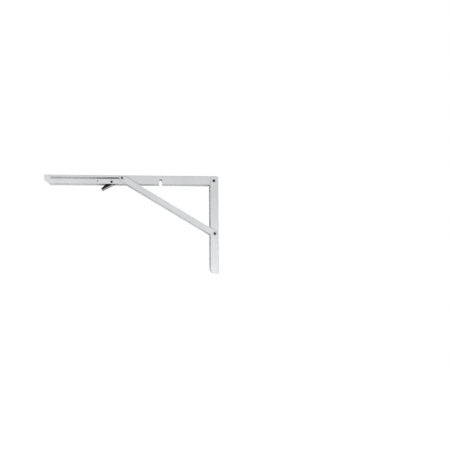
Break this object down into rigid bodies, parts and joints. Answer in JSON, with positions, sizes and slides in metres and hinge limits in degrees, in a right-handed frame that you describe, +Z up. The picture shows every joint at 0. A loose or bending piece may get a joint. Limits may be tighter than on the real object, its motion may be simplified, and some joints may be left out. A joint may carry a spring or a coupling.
{
  "type": "folding shelf bracket",
  "caption": "Folding triangular shelf bracket: channel arm hinged to a wall plate, propped by a strut whose pin slides in the arm's slot and is released by a black lever.",
  "frame": {"origin": "middle of the wall screws, on the back face of the wall plate", "axes": "+X into the wall, so the shelf arm runs along -X; +Y across the width; +Z up"},
  "size_m": [0.297, 0.0348, 0.17],
  "materials": {
    "painted_steel": "satin pale grey-white powder paint over sheet steel",
    "rivet_steel": "dull zinc",
    "spring_steel": "bright rolled spring strip",
    "black_plastic": "black moulded plastic with a slight gloss"
  },
  "bodies": {
    "wall_plate": {"wall_plate": "painted_steel", "arm_pivot_rivet": "rivet_steel", "strut_foot_rivet": "rivet_steel"},
    "shelf_arm": {"shelf_arm": "painted_steel", "lever_pivot_pin": "rivet_steel", "spring_anchor_pin": "rivet_steel", "lock_spring": "spring_steel"},
    "strut": {"strut_bar_front": "painted_steel", "strut_bar_back": "painted_steel", "slide_pin_head_front": "rivet_steel", "slide_pin_head_back": "rivet_steel"},
    "slide_pin": {"slide_pin": "rivet_steel", "slide_pin_washer_front": "rivet_steel", "slide_pin_washer_back": "rivet_steel"},
    "release_lever": {"release_lever": "black_plastic"}
  },
  "joints": [
    {"name": "arm_fold", "type": "hinge", "parent": "wall_plate", "child": "shelf_arm", "pos_m": [-0.008, 0, 0.0863], "axis": [0, -1, 0], "range_deg": [0, 90]},
    {"name": "strut_fold", "type": "hinge", "parent": "wall_plate", "child": "strut", "pos_m": [-0.007, 0, -0.0057], "axis": [0, -1, 0], "range_deg": [0, 119.6]},
    {"name": "slide_pin_travel", "type": "slide", "parent": "shelf_arm", "child": "slide_pin", "axis": [-1, 0, 0], "range_m": [0, 0.11937]},
    {"name": "lever_press", "type": "hinge", "parent": "shelf_arm", "child": "release_lever", "pos_m": [-0.1839, 0, 0.0832], "axis": [0, 1, 0], "range_deg": [0, 28], "stiffness_Nm_per_rad": 0.05, "springref_deg": -8.59, "deforming": ["lock_spring"]}
  ],
  "couplings": [
    {"joint": "strut_fold", "follows": "arm_fold", "ratio": 1.3289},
    {"joint": "slide_pin_travel", "follows": "arm_fold", "m_per_rad": 0.075995}
  ]
}
